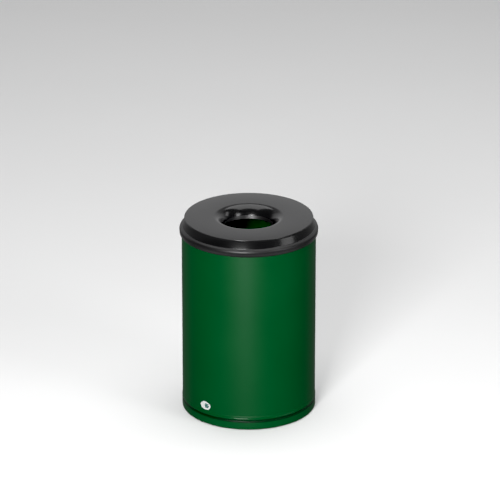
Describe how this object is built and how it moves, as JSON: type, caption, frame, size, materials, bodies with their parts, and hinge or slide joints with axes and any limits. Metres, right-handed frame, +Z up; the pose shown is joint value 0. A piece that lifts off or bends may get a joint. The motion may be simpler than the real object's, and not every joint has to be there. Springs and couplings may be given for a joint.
{
  "type": "litter bin",
  "caption": "Round steel litter bin with a green powder-coated wall on a standing ring and a black lift-off lid that dips into a round funnel opening.",
  "frame": {"origin": "middle of the base, in the plane where the foot pads meet the floor", "axes": "+Z up along the bin's axis; -Y is the front, with the label left of the middle; +X to the right seen from the front"},
  "size_m": [0.3334, 0.3334, 0.49],
  "materials": {
    "green_powder_coat": "smooth satin powder coat, fine orange peel, inside and out",
    "black_powder_coat": "satin black powder coat with fine orange peel",
    "zinc_plated_wire": "drawn, zinc plated",
    "pad_rubber": "matte moulded rubber",
    "label_film": "printed white film with a plain green border and bars, no lettering"
  },
  "bodies": {
    "bin": {"body_shell": "green_powder_coat", "rim_wire": "zinc_plated_wire", "base_ring": "green_powder_coat", "floor_pan": "green_powder_coat", "foot_pad_1": "pad_rubber", "foot_pad_2": "pad_rubber", "foot_pad_3": "pad_rubber", "foot_pad_4": "pad_rubber", "label_oval": "label_film"},
    "lid": {"lid_head": "black_powder_coat"}
  },
  "joints": [
    {"name": "lid_lift", "type": "slide", "parent": "bin", "child": "lid", "axis": [0, 0, 1], "range_m": [0, 0.15]}
  ]
}
